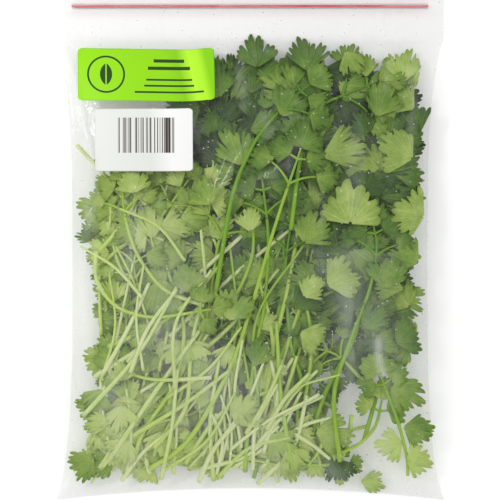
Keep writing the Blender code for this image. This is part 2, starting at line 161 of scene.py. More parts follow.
# The labels' paper colour from left to right, with painted light in it: on the lime label a painted darker
# band and a painted highlight, the sheen where the right end bends up; on the white label painted shade that
# greys its left part
LIME_PAPER_AND_PAINTED_SHEEN = ((0.0, "#92da06"), (0.7, "#8bd000"), (0.79, "#82c600"), (0.88, "#b2ee2e"), (0.95, "#abe825"),
              (1.0, "#84cc00"))
WHITE_PAPER_AND_PAINTED_SHADE = ((0.0, "#dcded9"), (0.6, "#dbddd8"), (0.8, "#efefed"), (1.0, "#ecedeb"))

# Creases of the front film: rise, half width, milkiness, and the line they run along
CREASES = (
    (1.2, 2.2, 0.25, (-99, 96), (-92, 76), (-88.7, 61.8)),
    (0.9, 1.8, 0.2, (-90, 64), (-85, 48), (-81.3, 36)),
    (0.9, 3.0, 0.1, (49, -30), (50, -52), (53, -82)),
    (0.8, 1.6, 0.3, (66.5, -57), (67, -66), (68.6, -73)),
    (0.8, 2.0, 0.12, (-84, 10), (-88, -20), (-84, -60)),
    (0.9, 2.4, 0.08, (-70, -139), (-64, -128), (-60, -118)),
    (0.8, 2.2, 0.08, (-30, -137), (-26, -128), (-16, -120)),
    (0.8, 2.2, 0.08, (12, -136), (16, -128), (14, -118)),
    (1.0, 2.6, 0.12, (52, -137), (46, -128), (40, -122)),
    (0.9, 2.4, 0.1, (84, -138), (78, -128), (62, -124)),
    (0.0, 14.0, 0.1, (-46, -56), (-20, -78), (2, -104)), (0.0, 12.0, 0.08, (-70, -84), (-66, -112)),
    (0.0, 12.0, 0.08, (-52, -6), (-46, -24)), (0.0, 10.0, 0.08, (52, -20), (66, -60)),
    (0.6, 2.6, 0.03, (-66, 111), (-20, 108), (40, 110), (70, 108)),
    (0.8, 2.2, 0.06, (88, 96), (84, 84), (86, 66)),
    (0.7, 2.6, 0.05, (-8, 20), (14, 30), (26, 46)),
    (0.7, 2.4, 0.05, (36, -20), (52, -12), (70, -14)),
)

# Broad leaflets pressed against the film: base, heading, radius, half spread, depth and tone
BROAD_LEAVES = (
    (80, 78, 88, 18, 52, 0.7, 0.78), (52, 4, 84, 21, 80, 0.95, 0.74), (85, 38, 150, 20, 62, 0.85, 0.7),
    (91, 8, 165, 17, 66, 0.75, 0.74), (37, 39, 18, 23, 45, 0.95, 0.62), (0, 0, 92, 13, 68, 0.95, 0.85),
    (-4, 34, 112, 20, 46, 0.9, 0.55), (34, 44, 112, 22, 52, 0.9, 0.42), (50, 95, -62, 14, 48, 0.85, 0.62),
    (86, 64, 140, 17, 60, 0.7, 0.66), (88, -16, 150, 16, 66, 0.7, 0.55), (28, -6, 60, 17, 58, 0.95, 0.55),
    (-20, 14, 120, 15, 60, 0.95, 0.6), (-32, -32, 92, 15, 64, 0.95, 0.6), (30, 84, 90, 18, 62, 0.8, 0.35),
    (4, 86, 96, 17, 62, 0.8, 0.3), (66, 60, 70, 19, 52, 0.85, 0.5), (16, 60, 60, 17, 64, 0.95, 0.4),
    (-16, 70, 110, 17, 60, 0.85, 0.3), (70, -30, 80, 17, 62, 0.85, 0.5), (-60, 20, 100, 13, 70, 0.95, 0.8),
    (-46, -24, -90, 25, 58, 0.8, 0.62), (-12, -46, 62, 17, 66, 0.95, 0.66), (26, -52, -28, 14, 62, 0.9, 0.74),
    (28, -34, 50, 13, 62, 0.9, 0.78), (40, -28, 30, 18, 58, 0.9, 0.76), (-8, -100, 48, 17, 56, 0.9, 0.88),
    (-8, -90, -30, 13, 60, 0.85, 0.84), (10, -106, -40, 17, 58, 0.8, 0.76),
    (34, -104, -12, 19, 56, 0.8, 0.66),
    (20, -112, -64, 14, 60, 0.8, 0.86), (-78, -82, 248, 14, 52, 0.7, 0.66), (-72, -98, 205, 14, 56, 0.7, 0.9),
    (-66, -90, 262, 15, 58, 0.8, 0.92), (-64, -108, 246, 14, 58, 0.75, 0.95),
    (-46, -104, 270, 14, 62, 0.7, 0.95),
    (74, -80, -42, 19, 56, 0.7, 0.56), (80, -102, -14, 16, 60, 0.7, 0.5), (82, -120, 6, 13, 78, 0.7, 0.88),
    (80, -110, 196, 14, 66, 0.7, 0.97), (58, -131, -6, 13, 50, 0.6, 0.8), (46, -119, -78, 13, 58, 0.6, 0.15),
    (-82, -118, 220, 15, 52, 0.6, 0.6), (58, -50, 40, 16, 62, 0.8, 0.4), (76, -58, 30, 14, 62, 0.7, 0.4),
    (-52, -48, 240, 14, 60, 0.85, 0.72), (2, -70, 70, 14, 60, 0.85, 0.5),
)


# ---------------------------------------------------------------- meshes and materials

def linear(hex_colour):
    """An sRGB hex colour as linear red, green, blue and full alpha."""
    channels = [int(hex_colour[k:k + 2], 16) / 255 for k in (1, 3, 5)]
    return tuple(c / 12.92 if c <= 0.04045 else ((c + 0.055) / 1.055) ** 2.4 for c in channels) + (1.0,)


def add_node(tree, kind, inputs=None, **settings):
    """A shader node with its settings, its sockets set to values or linked to other nodes' outputs."""
    made = tree.nodes.new("ShaderNode" + kind)
    for key, value in settings.items():
        setattr(made, key, value)
    for key, value in (inputs or {}).items():
        if isinstance(value, bpy.types.NodeSocket):
            tree.links.new(value, made.inputs[key])
        else:
            made.inputs[key].default_value = value
    return made


def calc(tree, operation, *values):
    """The output of one step of arithmetic."""
    return add_node(tree, "Math", dict(enumerate(values)), operation=operation).outputs[0]


def ramp(tree, factor, stops):
    """A colour ramp over (place, hex colour) stops."""
    made = add_node(tree, "ValToRGB", {"Fac": factor})
    elements = made.color_ramp.elements
    while len(elements) < len(stops):
        elements.new(0.5)
    for element, (place, colour) in zip(elements, stops):
        element.position = place
        element.color = linear(colour)
    return made.outputs["Color"]


def new_material(name):
    made = bpy.data.materials.new(name)
    made.use_nodes = True
    made.node_tree.nodes.clear()
    return made, made.node_tree


def finish_material(tree, shader):
    add_node(tree, "OutputMaterial", {"Surface": shader})


def grid_faces(rows, columns, count=1, closed=False):
    """Corner numbers of the quads of count grids of rows by columns points, one after another."""
    wrap = columns if closed else columns - 1
    row, column = np.meshgrid(np.arange(rows - 1), np.arange(wrap), indexing="ij")
    following = (column + 1) % columns
    quads = np.stack([row * columns + column, row * columns + following,
                      (row + 1) * columns + following, (row + 1) * columns + column], axis=-1)
    starts = np.arange(count)[:, None, None] * rows * columns
    return (starts + quads.reshape(1, -1, 4)).reshape(-1, 4)


def make_piece(name, points, quads, material, uv=None, numbers=None, rings=None):
    """A mesh object from points and quads in millimetres, with a UV and point attributes.

    rings are extra faces with many corners, such as the caps of tubes.
    """
    faces = quads.tolist()
    if rings is not None:
        faces += rings.tolist()
    mesh = bpy.data.meshes.new(name)
    mesh.from_pydata((points * MM).tolist(), [], faces)
    for key, values in (numbers or {}).items():
        mesh.attributes.new(key, "FLOAT", "POINT").data.foreach_set("value", values.astype(np.float32))
    if uv is not None:
        corners = np.zeros(len(mesh.loops), np.int32)
        mesh.loops.foreach_get("vertex_index", corners)
        mesh.uv_layers.new(name="surface").data.foreach_set("uv", uv[corners].astype(np.float32).ravel())
    mesh.materials.append(material)
    mesh.polygons.foreach_set("use_smooth", np.full(len(mesh.polygons), True))
    made = bpy.data.objects.new(name, mesh)
    bpy.context.scene.collection.objects.link(made)
    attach(made, "root")
    return made


def thicken(piece, thickness):
    solid = piece.modifiers.new("Wall", "SOLIDIFY")
    solid.thickness = thickness * MM
    solid.offset = 0
    return piece


# ---------------------------------------------------------------- the bag's surfaces

def fill(v):
    """Thickness of the filled bag at v, the distance along it from its bottom edge."""
    reach = np.clip(np.abs((v - FILL_MIDDLE) / FILL_REACH), 0, 1)
    return FILL_HEIGHT * (1 - reach**3.4) ** 0.75


def half_width(v):
    return BAG_WIDTH / 2 - PINCH * fill(v)


def bow(u, v):
    """How far the bottom edge is drawn up between its corners."""
    return BOTTOM_BOW * (1 - u**2) * np.clip(1 - v / BOW_FADE, 0, 1) ** 2


def zip_bulge(u, v):
    end = np.clip((1 - np.abs(u)) / 0.07, 0, 1)
    return ZIP_BULGE * end * np.exp(-(((v - ZIP_FROM_BOTTOM) / ZIP_BULGE_WIDTH) ** 4))


def back_height(u, v):
    """The back panel: flat where it rests, curling up to the side seams."""
    seam = SEAM_SHARE * fill(v)
    return FILM / 2 + seam * np.clip(1 - 1.15 * (1 - np.abs(u) ** 6), 0, None)


def seam_height(v):
    return SEAM_SHARE * fill(v) + FILM / 2 + FILM + SEAM_GAP


def front_height(u, v):
    """The front panel: a crown that falls to the side seams, with a ridge over the zip."""
    return seam_height(v) + (1 - SEAM_SHARE) * fill(v) * (1 - np.abs(u) ** 5) + zip_bulge(u, v)


def across_and_along(x, y):
    """The place (u, v) on the bag that lies at (x, y)."""
    v = y + BAG_LENGTH / 2
    for _ in range(6):
        u = x / half_width(v)
        v = y + BAG_LENGTH / 2 - bow(np.clip(u, -1, 1), v)
    return u, v


# ---------------------------------------------------------------- the sprigs in plan

def smooth_route(points, count):
    """Points at even steps along a Catmull-Rom curve through the route's own points."""
    points = np.array(points, float)
    ends = np.vstack([2 * points[0] - points[1], points, 2 * points[-1] - points[-2]])
    t = np.linspace(0, 1, 20, endpoint=False)[:, None]
    runs = []
    for a, b, c, d in zip(ends[:-3], ends[1:-2], ends[2:-1], ends[3:]):
        runs.append(
            0.5 * (2 * b + (c - a) * t + (2 * a - 5 * b + 4 * c - d) * t**2 + (3 * b - a - 3 * c + d) * t**3)
        )
    line = np.vstack([*runs, points[-1:]])
    length = np.concatenate([[0], np.cumsum(np.linalg.norm(np.diff(line, axis=0), axis=1))])
    steps = np.linspace(0, length[-1], count)
    return np.column_stack([np.interp(steps, length, line[:, k]) for k in (0, 1)]), length[-1]


def turned(direction, degrees):
    angle = math.radians(degrees)
    x, y = direction
    return np.array([x * math.cos(angle) - y * math.sin(angle),
                     x * math.sin(angle) + y * math.cos(angle)])


def plan_of(sprig):
    """A sprig seen from above: its stem, its leaf stalks and its leaflets."""
    depth, radius, leaf, spread, pairs, *route = sprig
    line, length = smooth_route(route, 200)
    head = 9 + 0.9 * leaf * max(pairs, 0)
    along = np.linspace(0, length, len(line))

    def at(distance):
        return np.array([np.interp(distance, along, line[:, k]) for k in (0, 1)])

    def heading(distance):
        step = at(min(distance + 2, length)) - at(distance - 2)
        return step / np.linalg.norm(step)

    head_start = length - head
    stem = np.array([at(d) for d in np.linspace(0, head_start - NODE_GAP, 40)])
    stalks = [np.array([at(d) for d in np.linspace(head_start, length, 10)])]
    leaflets = [(at(length), heading(length), leaf, 0.8)]
    for side in (-1, 1) if pairs >= 0 else ():
        fork = at(length - 6)
        way = turned(heading(length - 6), 74 * side)
        base = fork + way * 4.5
        stalks.append(bent(fork, fork + way * 2.5, base))
        leaflets.append((base, turned(way, -4 * side), 0.82 * leaf, 0.0))
        for pair in range(pairs):
            place = length - head + 2 + 8 * pair
            fork = at(place)
            way = turned(heading(place), 50 * side)
            middle = fork + way * 0.55 * leaf
            way = turned(way, 14 * side)
            base = middle + way * 0.5 * leaf
            stalks.append(bent(fork, middle, base))
            leaflets.append((base, way, 0.85 * leaf, -0.8))
    return {"depth": depth, "radius": radius, "spread": spread, "stem": stem, "stalks": stalks,
            "leaflets": leaflets}


def bent(start, middle, end):
    """Ten points on the curve that starts towards middle and ends at end."""
    t = np.linspace(0, 1, 10)[:, None]
    control = 2 * middle - (start + end) / 2
    return (1 - t) ** 2 * start + 2 * t * (1 - t) * control + t**2 * end


def window(field, reach, pick, mode):
    """The largest value, or the mean, within reach cells along both axes."""
    for axis in (0, 1):
        padded = np.pad(field, [(reach, reach) if k == axis else (0, 0) for k in (0, 1)], mode=mode)
        size = field.shape[axis]
        field = pick([np.take(padded, range(k, k + size), axis) for k in range(2 * reach + 1)], axis=0)
    return field


class Heap:
    """The height of what is in the bag so far, on a grid of one millimetre."""

    def __init__(self):
        self.grid_x, self.grid_y = np.meshgrid(np.arange(-110, 111), np.arange(-145, 146), indexing="ij")
        self.u, self.v = across_and_along(self.grid_x, self.grid_y)
        self.u = np.clip(self.u, -1, 1)
        self.floor = back_height(self.u, self.v) + WALL_MARGIN
        self.room = np.clip(front_height(self.u, self.v) - WALL_MARGIN - self.floor, 0, None)
        self.top = self.floor - WALL_MARGIN
        self.bed = self.top.copy()

    def field(self, depth):
        """Heights at one depth in the bag, from the back film (0) to the front film (1)."""
        return self.floor + depth * DEPTH_SHARE * self.room

    def heights(self, depths, x, y):
        """Heights at (x, y) of leaflets that each have their own depth."""
        depths = np.array(depths).reshape(-1, 1, 1)
        return sample(self.floor, x, y) + depths * DEPTH_SHARE * sample(self.room, x, y)

    def half_thickness(self, plan, stalk_half, leaf_half):
        """Half a sprig's thickness over each cell, from discs along its stem and on its leaflets."""
        discs = [(point, 2.5, plan["radius"] + 0.1) for point in refined(plan["stem"])]
        discs += [(point, 2.0, stalk_half) for line in plan["stalks"] for point in refined(line)]
        for base, way, leaf, _ in plan["leaflets"]:
            discs += [(base + way * 0.5 * leaf, 0.62 * leaf + 1, leaf_half), (base, 0.4 * leaf, leaf_half)]
        half = np.zeros(self.grid_x.shape)
        for (x, y), radius, thick in discs:
            i, j = int(x) + 110, int(y) + 145
            reach = int(radius) + 2
            part = (slice(max(i - reach, 0), i + reach + 1), slice(max(j - reach, 0), j + reach + 1))
            inside = (self.grid_x[part] - x) ** 2 + (self.grid_y[part] - y) ** 2 < radius**2
            half[part] = np.where(inside, np.maximum(half[part], thick), half[part])
        return half

    def lay(self, plan):
        """Heights for a sprig at its depth in the bag, lifted smoothly over what lies below it."""
        target = self.field(plan["depth"])
        half = self.half_thickness(plan, HALF_LEAF, HALF_LEAF)
        need = np.where(half > 0, self.top + LAYER_GAP + half - target, 0)
        highest = window(np.clip(need, 0, None), SOFTEN, np.max, "constant")
        height = target + window(highest, SOFTEN, np.mean, "edge")
        self.top = np.where(half > 0, np.maximum(self.top, height + half), self.top)
        return height

    def add_top(self, plan, height):
        half = self.half_thickness(plan, 0.6, 0.4)
        self.top = np.where(half > 0, np.maximum(self.top, height + half), self.top)


def film_over(heap):
    """Heights of the front film: drawn over the heap, pinned at the seams, never above the crown."""
    crown = front_height(heap.u, heap.v)
    seam = seam_height(heap.v) + zip_bulge(heap.u, heap.v)
    over = window(window(heap.top + 0.6, 8, np.max, "edge"), 8, np.mean, "edge")
    free = np.clip(over, seam + 0.62 * (crown - seam), crown)
    pinned = np.clip((1 - np.abs(heap.u)) / 0.08, 0, 1)
    return seam + (free - seam) * pinned**2 * (3 - 2 * pinned)


def refined(line):
    """The points of a line with more between them, about 2 mm apart."""
    made = []
    for start, end in zip(line[:-1], line[1:]):
        count = max(int(np.linalg.norm(end - start) / 2), 1)
        made += [start + (end - start) * k / count for k in range(count)]
    return [*made, line[-1]]


def sample(field, x, y):
    """A field on the heap's grid read at any (x, y), between the four cells around it."""
    column = np.clip(x + 110, 0, field.shape[0] - 1.001)
    row = np.clip(y + 145, 0, field.shape[1] - 1.001)
    i, j = column.astype(int), row.astype(int)
    a, b = column - i, row - j
    low = field[i, j] * (1 - a) + field[i + 1, j] * a
    high = field[i, j + 1] * (1 - a) + field[i + 1, j + 1] * a
    return low * (1 - b) + high * b


# ---------------------------------------------------------------- the sprigs as surfaces

def leaf_points(leaflets, height, spread, tone, teeth_points=4, rings=3):
    """Leaflets as fans of rounded teeth, all worked out at once.

    A point at share a of the spread and share r of the way out lies at the angle a times the spread,
    at r times the rim's reach. The rim falls off to the sides, is cut by two or four deep slits and
    is scalloped by ten rounded teeth. The surface is pleated along its lobes, cupped and tilted.
    """
    count = len(leaflets)
    base = np.array([each[0] for each in leaflets])
    way = np.array([each[1] for each in leaflets])
    size = np.array([each[2] for each in leaflets])
    level = np.array([each[3] for each in leaflets])
    teeth = 10
    even = np.linspace(-1, 1, teeth * teeth_points + 1)[None, None, :]
    r = np.linspace(0.06, 1, rings + 1)[None, :, None]
    random = RANDOM.random((15, count, 1, 1))
    uneven = 0.05 * np.sin(6 * even + 6 * random[12]) + 0.03 * np.sin(13 * even + 6 * random[13])
    a = even + uneven * (1 - even**2)
    slit_depth = 0.12 + 0.3 * random[0]
    side_slit = np.where(random[1] > 0.5, 0.2, 0.0) * (0.5 + random[2])
    reach = 1 - (0.12 + 0.16 * random[3]) * np.abs(a) ** 2.4
    for place, depth in ((-0.4, slit_depth), (0.4, slit_depth), (-0.8, side_slit), (0.8, side_slit),
                         (0.0, np.where(random[4] > 0.6, 0.25, 0.0))):
        reach = reach * (1 - depth * np.exp(-(((a - place) / 0.035) ** 2)))
    scallop = 1 - np.abs(np.sin(math.pi * teeth * (even + 1) / 2)) ** 0.7
    reach = reach * (1 - (0.1 + 0.07 * random[5]) * scallop)
    reach = reach * (1 + 0.09 * np.sin(5 * a + 6 * random[6]) + 0.05 * np.sin(9 * a + 6 * random[14]))
    angle = np.radians(spread[:, None, None] * (0.85 + 0.3 * random[7])) * a
    radius = size[:, None, None] * reach * r
    forward, sideways = radius * np.cos(angle), radius * np.sin(angle)
    fold = 0.8 + 0.25 * random[8]
    sideways = sideways * fold
    side_way = np.column_stack([way[:, 1], -way[:, 0]])
    x = base[:, 0, None, None] + way[:, 0, None, None] * forward + side_way[:, 0, None, None] * sideways
    y = base[:, 1, None, None] + way[:, 1, None, None] * forward + side_way[:, 1, None, None] * sideways
    lift = height(x, y) + level[:, None, None] * np.clip(2 * r, 0, 1)
    pleat = 0.35 * np.cos(math.pi * 5 * a) * r
    cup = 2.4 * (random[9] - 0.45) * r**2
    curl = 0.8 * np.sin(4 * a + 6 * random[10]) * r**2
    tilt = 2.6 * (random[11] - 0.5) * sideways / size[:, None, None]
    z = lift + (pleat + cup + curl + tilt) * np.minimum(size / 14, 1)[:, None, None]
    z = held_between(x, y, z)
    points = np.stack([x, y, z], axis=-1).reshape(-1, 3)
    uv = np.stack(np.broadcast_arrays(a, r, x)[:2], axis=-1).reshape(-1, 2)
    tones = np.broadcast_to(tone[:, None, None], x.shape).ravel()
    faces = grid_faces(rings + 1, teeth * teeth_points + 1, count)
    return points, faces, uv, tones


def held_between(x, y, z, room=0.45):
    """Heights kept between the back film and the front film."""
    return np.maximum(np.minimum(z, sample(heap.lid, x, y) - room), sample(heap.bed, x, y) + room)


def tube_points(lines, radii, tones, sides=8):
    """Round tubes along lines of equally many points, each with its radii, and their end caps."""
    lines = np.array(lines)
    radii = np.array(radii)
    count, steps, _ = lines.shape
    along = np.gradient(lines, axis=1)
    along /= np.linalg.norm(along, axis=2, keepdims=True)
    side = np.cross(along, [0, 0, 1.0])
    side /= np.maximum(np.linalg.norm(side, axis=2, keepdims=True), 1e-6)
    up = np.cross(side, along)
    angle = np.linspace(0, 2 * math.pi, sides, endpoint=False)
    points = (lines[:, :, None] + radii[:, :, None, None]
              * (np.cos(angle)[None, None, :, None] * side[:, :, None]
                 + np.sin(angle)[None, None, :, None] * up[:, :, None]))
    faces = grid_faces(steps, sides, count, closed=True)[:, ::-1]
    starts = np.arange(count)[:, None] * steps * sides
    first = starts + np.arange(sides)[None, :]
    last = starts + (steps - 1) * sides + np.arange(sides)[None, ::-1]
    share = np.linspace(0, 1, steps)[None, :, None]
    around = (angle / (2 * math.pi))[None, None, :]
    uv = np.stack(np.broadcast_arrays(around, share * steps, np.zeros((count, 1, 1)))[:2], axis=-1)
    uv = uv.reshape(-1, 2)
    tone = np.broadcast_to(np.array(tones)[:, :, None], (count, steps, sides)).ravel()
    return points.reshape(-1, 3), faces, uv, tone, np.vstack([first, last])


def raised(line, field):
    """A line in plan lifted to a field's heights, clear of both films by the stem's thickness."""
    x, y = line[:, 0], line[:, 1]
    return np.column_stack([line, held_between(x, y, sample(field, x, y), 1.6)])


def resampled(line, count):
    """A line with count points at even shares of its points."""
    place = np.linspace(0, len(line) - 1, count)
    return np.column_stack([np.interp(place, np.arange(len(line)), line[:, k]) for k in range(line.shape[1])])


def stem_piece(name, lines, radii, tones, material):
    points, faces, uv, tone, caps = tube_points(lines, radii, tones)
    return make_piece(name, points, faces, material, uv, {"tone": tone}, rings=caps)


def leaf_piece(name, leaflets, spreads, tones, height, material, points_per_tooth=4, rings=3):
    points, faces, uv, tone = leaf_points(leaflets, height, spreads, tones, points_per_tooth, rings)
    return thicken(make_piece(name, points, faces, material, uv, {"tone": tone}), 0.22)


# ---------------------------------------------------------------- materials

def leaf_material():
    """Fresh coriander leaf: thin, satin, lighter along its veins, which fan out from the base."""
    made, tree = new_material("fresh_coriander_leaf")
    tone = add_node(tree, "Attribute", attribute_name="tone").outputs["Fac"]
    place = add_node(tree, "TexCoord").outputs
    uv = add_node(tree, "SeparateXYZ", {0: place["UV"]}).outputs
    patches = add_node(tree, "TexNoise", {"Vector": place["Object"], "Scale": 110.0, "Detail": 3.0})
    grain = add_node(tree, "TexNoise", {"Vector": place["Object"], "Scale": 520.0, "Detail": 3.0})
    mottled = calc(tree, "MULTIPLY_ADD", patches.outputs["Fac"], 0.44, -0.22)
    mottled = calc(tree, "MULTIPLY_ADD", grain.outputs["Fac"], 0.2, calc(tree, "SUBTRACT", mottled, 0.1))
    # main veins run to the middles of the lobes; they are 0.4 mm wide, drawn a little wide to show
    across = calc(tree, "MULTIPLY", uv["X"], 2.5)
    from_vein = calc(tree, "PINGPONG", across, 0.5)
    width = calc(tree, "MULTIPLY", from_vein, uv["Y"])
    main_vein = add_node(tree, "MapRange", {0: width, 1: 0.0, 2: 0.035, 3: 1.0, 4: 0.0}).outputs[0]
    fine = calc(tree, "PINGPONG", calc(tree, "MULTIPLY", uv["X"], 7.5), 0.5)
    fine_width = calc(tree, "MULTIPLY", fine, uv["Y"])
    fine_vein = add_node(tree, "MapRange", {0: fine_width, 1: 0.0, 2: 0.09, 3: 0.5, 4: 0.0}).outputs[0]
    vein = calc(tree, "MAXIMUM", main_vein, fine_vein)
    lighter = calc(tree, "MULTIPLY_ADD", vein, 0.2, mottled)
    base_light = calc(tree, "MULTIPLY", calc(tree, "SUBTRACT", 1.0, uv["Y"]), 0.12)
    value = calc(tree, "ADD", calc(tree, "ADD", tone, lighter), base_light)
    colour = ramp(tree, value, ((0.0, "#223a0c"), (0.25, "#446b1b"), (0.5, "#709830"), (0.75, "#a3c052"),
                                (1.0, "#d0e383")))
    bump = add_node(tree, "Bump", {"Height": vein, "Strength": 0.35, "Distance": 0.0003})
    face = add_node(tree, "BsdfPrincipled",
                    {"Base Color": colour, "Roughness": 0.48, "IOR": 1.42, "Normal": bump.outputs[0]})
    through = add_node(tree, "BsdfTranslucent", {"Color": colour})
    mixed = add_node(tree, "MixShader", {0: 0.25, 1: face.outputs[0], 2: through.outputs[0]})
    finish_material(tree, mixed.outputs[0])
    return made


def stem_material():
    """Fresh coriander stem: smooth, juicy and faintly ribbed along its length, paler at the cut."""
    made, tree = new_material("fresh_coriander_stem")
    tone = add_node(tree, "Attribute", attribute_name="tone").outputs["Fac"]
    place = add_node(tree, "TexCoord").outputs
    ribs = add_node(tree, "Mapping", {"Vector": place["UV"], "Scale": (9.0, 0.35, 1.0)})
    lines = add_node(tree, "TexNoise", {"Vector": ribs.outputs[0], "Scale": 1.6, "Detail": 2.0})
    patches = add_node(tree, "TexNoise", {"Vector": place["Object"], "Scale": 60.0, "Detail": 2.0})
    value = calc(tree, "MULTIPLY_ADD", lines.outputs["Fac"], 0.4, calc(tree, "SUBTRACT", tone, 0.2))
    value = calc(tree, "MULTIPLY_ADD", patches.outputs["Fac"], 0.24, calc(tree, "SUBTRACT", value, 0.12))
    colour = ramp(tree, value, ((0.0, "#528a1e"), (0.35, "#86b82c"), (0.65, "#b2d54c"), (0.85, "#cfe676"),
                                (1.0, "#e8f3b4")))
    bump = add_node(tree, "Bump", {"Height": lines.outputs["Fac"], "Strength": 0.3, "Distance": 0.0002})
    face = add_node(tree, "BsdfPrincipled",
                    {"Base Color": colour, "Roughness": 0.35, "IOR": 1.42, "Normal": bump.outputs[0]})
    through = add_node(tree, "BsdfTranslucent", {"Color": colour})
    mixed = add_node(tree, "MixShader", {0: 0.2, 1: face.outputs[0], 2: through.outputs[0]})
    finish_material(tree, mixed.outputs[0])
    return made


def film_material():
    """Clear polythene film: glossy, finely crinkled, and milky where it stands off the herb."""
    made, tree = new_material("clear_polythene_film")
    haze = add_node(tree, "Attribute", attribute_name="haze").outputs["Fac"]
    place = add_node(tree, "TexCoord").outputs["Object"]
    crinkle = add_node(tree, "TexNoise",
                       {"Vector": place, "Scale": 42.0, "Detail": 4.0, "Roughness": 0.55, "Distortion": 0.8})
    bump = add_node(tree, "Bump", {"Height": crinkle.outputs["Fac"], "Strength": 0.6, "Distance": 0.002})
    clear = add_node(tree, "BsdfTransparent", {"Color": (0.955, 0.955, 0.952, 1)})
    milk = add_node(tree, "BsdfPrincipled", {"Base Color": linear("#fbfbfa"), "Roughness": 0.5})
    # beads of moisture 0.3 to 0.6 mm wide cling to the inside, drawn as milky white specks that are their
    # painted glints, and faint smears run down it
    beads = add_node(tree, "TexVoronoi", {"Vector": place, "Scale": 420.0})
    chosen = add_node(tree, "SeparateColor", {0: beads.outputs["Color"]}).outputs
    painted_bead_glint = calc(tree, "MULTIPLY", calc(tree, "LESS_THAN", beads.outputs["Distance"], 0.16),
                     calc(tree, "GREATER_THAN", chosen[0], 0.86))
    smears = add_node(tree, "Mapping", {"Vector": place, "Scale": (90.0, 22.0, 60.0)})
    smear = add_node(tree, "TexNoise", {"Vector": smears.outputs[0], "Scale": 1.0, "Detail": 4.0})
    smear = add_node(tree, "MapRange", {0: smear.outputs["Fac"], 1: 0.55, 2: 0.8, 3: 0.0, 4: 0.1})
    haze_smears_and_painted_glints = calc(tree, "ADD", haze, calc(tree, "MULTIPLY_ADD", painted_bead_glint, 0.4, smear.outputs[0]))
    body = add_node(tree, "MixShader", {0: haze_smears_and_painted_glints, 1: clear.outputs[0], 2: milk.outputs[0]})
    gloss = add_node(tree, "BsdfGlossy", {"Roughness": 0.14, "Normal": bump.outputs[0]})
    sheen = add_node(tree, "Fresnel", {"IOR": 1.25, "Normal": bump.outputs[0]})
    some = calc(tree, "MINIMUM", sheen.outputs[0], 0.2)
    whole = add_node(tree, "MixShader", {0: some, 1: body.outputs[0], 2: gloss.outputs[0]})
    finish_material(tree, whole.outputs[0])
    return made


def label_material(name, ink, width, slant, stops):
    """Coated label paper, printed: ink says where the print lies, stops how the paper colour runs across,
    with its painted sheen and painted shade.
    """
    made, tree = new_material(name)
    uv = add_node(tree, "TexCoord").outputs["UV"]
    print_mask, print_colour = ink(tree, uv)
    at = add_node(tree, "SeparateXYZ", {0: uv}).outputs
    # the paper ramp, read along a slanted line, paints the label's sheen and shade into its colour
    leaning = calc(tree, "MULTIPLY_ADD", at["Y"], slant, at["X"])
    paper = ramp(tree, calc(tree, "DIVIDE", leaning, width), stops)
    colour = add_node(tree, "Mix", {0: print_mask, 6: paper, 7: print_colour}, data_type="RGBA")
    grain = add_node(tree, "TexNoise",
                     {"Vector": add_node(tree, "TexCoord").outputs["Object"], "Scale": 130.0, "Detail": 3.0})
    bump = add_node(tree, "Bump", {"Height": grain.outputs["Fac"], "Strength": 0.25, "Distance": 0.0003})
    face = add_node(tree, "BsdfPrincipled",
                    {"Base Color": colour.outputs[2], "Roughness": 0.45, "Specular IOR Level": 0.25,
                     "Normal": bump.outputs[0]})
    finish_material(tree, face.outputs[0])
    return made


def between(tree, value, low, high):
    """1 where value is between low and high, else 0."""
    above = calc(tree, "GREATER_THAN", value, low)
    below = calc(tree, "LESS_THAN", value, high)
    return calc(tree, "MULTIPLY", above, below)


def leaf_mark_ink(tree, uv):
    """A plain ring round a leaf, and five blank rules where a label has its words.

    The UV is in millimetres from the label's lower left corner.
    """
    at = add_node(tree, "SeparateXYZ", {0: uv}).outputs
    masks = []
    x = calc(tree, "SUBTRACT", at["X"], 15.0)
    y = calc(tree, "SUBTRACT", at["Y"], 14.0)
    far = calc(tree, "SQRT", calc(tree, "ADD", calc(tree, "MULTIPLY", x, x),
                                            calc(tree, "MULTIPLY", y, y)))
    masks.append(between(tree, far, 9.0, 10.0))
    # the leaf is the overlap of two discs, with a pale midrib left out
    for side in (-1, 1):
        away = calc(tree, "ADD", x, 4.0 * side)
        masks.append(calc(tree, "LESS_THAN", calc(
            tree, "ADD", calc(tree, "MULTIPLY", away, away), calc(tree, "MULTIPLY", y, y)), 52.0))
    leaf = calc(tree, "MULTIPLY", masks[1], masks[2])
    rib = calc(tree, "GREATER_THAN", calc(tree, "ABSOLUTE", x), 0.35)
    total = calc(tree, "MAXIMUM", masks[0], calc(tree, "MULTIPLY", leaf, rib))
    for left, right, low, high in ((40, 56, 20.6, 22.4), (37, 59, 16.6, 18.4), (36, 60, 10.8, 11.8),
                                   (35, 61, 7.6, 8.6), (30, 66, 4.2, 5.2)):
        rule = calc(tree, "MULTIPLY", between(tree, at["X"], left, right), between(tree, at["Y"], low, high))
        total = calc(tree, "MAXIMUM", total, rule)
    return total, linear("#1c4410")


def bar_ink(tree, uv):
    """Bars of varied width and darkness that stand for no number, as on any retail label."""
    at = add_node(tree, "SeparateXYZ", {0: uv}).outputs
    module = 0.5
    column = calc(tree, "FLOOR", calc(tree, "DIVIDE", at["X"], module))
    dark = add_node(tree, "TexWhiteNoise", {"W": column}, noise_dimensions="1D").outputs["Value"]
    bar = calc(tree, "GREATER_THAN", dark, 0.33)
    inside = calc(tree, "MULTIPLY", between(tree, at["X"], 11.6, 41.8), between(tree, at["Y"], 9.6, 28.0))
    colour = ramp(tree, dark, ((0.4, "#c2c4be"), (0.6, "#8d8686"), (0.75, "#4a3a3a"), (1.0, "#1c2a1c")))
    return calc(tree, "MULTIPLY", bar, inside), colour


